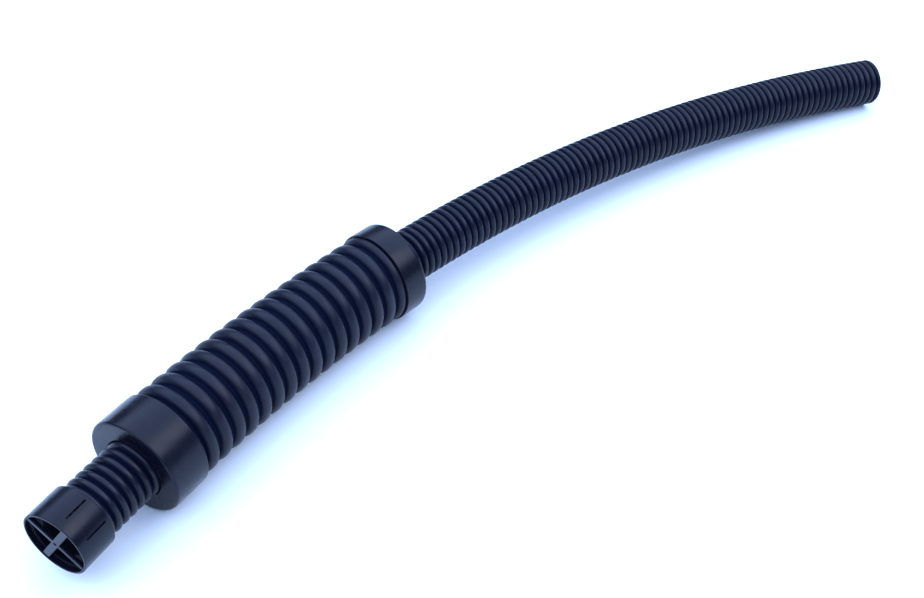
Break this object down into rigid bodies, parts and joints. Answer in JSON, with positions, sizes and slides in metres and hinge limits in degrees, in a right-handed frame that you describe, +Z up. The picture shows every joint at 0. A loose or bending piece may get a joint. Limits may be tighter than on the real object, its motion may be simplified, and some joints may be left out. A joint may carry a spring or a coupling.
{
  "type": "pool vacuum hose",
  "caption": "Corrugated pool suction hose with a clip-on swivel nozzle and strainer at one end, running through a wider ribbed sleeve with smooth collars.",
  "frame": {"origin": "middle of the bounding box in plan, on the surface the hose lies on", "axes": "+Z up; +X along the chord from the nozzle's mouth to the hose's cut end; +Y towards the outside of the hose's bend"},
  "size_m": [0.7794, 0.115, 0.0642],
  "materials": {
    "hose_plastic": "satin",
    "bellows_plastic": "matte",
    "shell_plastic": "semi-gloss",
    "seal_rubber": "matte",
    "bearing_plastic": "smooth"
  },
  "bodies": {
    "hose": {"suction_hose": "hose_plastic", "nozzle_liner": "bearing_plastic"},
    "nozzle": {"nozzle_cuff": "shell_plastic", "strainer_cross": "shell_plastic", "nozzle_seal": "seal_rubber"},
    "sleeve": {"sleeve_bellows": "bellows_plastic", "near_collar": "shell_plastic", "near_wiper": "seal_rubber", "near_bush": "bearing_plastic", "near_retaining_ring": "bearing_plastic", "far_collar": "shell_plastic", "far_wiper": "seal_rubber", "far_bush": "bearing_plastic", "far_retaining_ring": "bearing_plastic"}
  },
  "joints": [
    {"name": "nozzle_swivel", "type": "hinge", "parent": "hose", "child": "nozzle", "pos_m": [-0.37208, -0.0341, 0.03211], "axis": [0.9421, 0.3353, 0], "continuous": true},
    {"name": "sleeve_slide", "type": "hinge", "parent": "hose", "child": "sleeve", "pos_m": [0.00007, -1.07986, 0], "axis": [0, 0, -1], "range_deg": [-1.85, 3.1]}
  ]
}
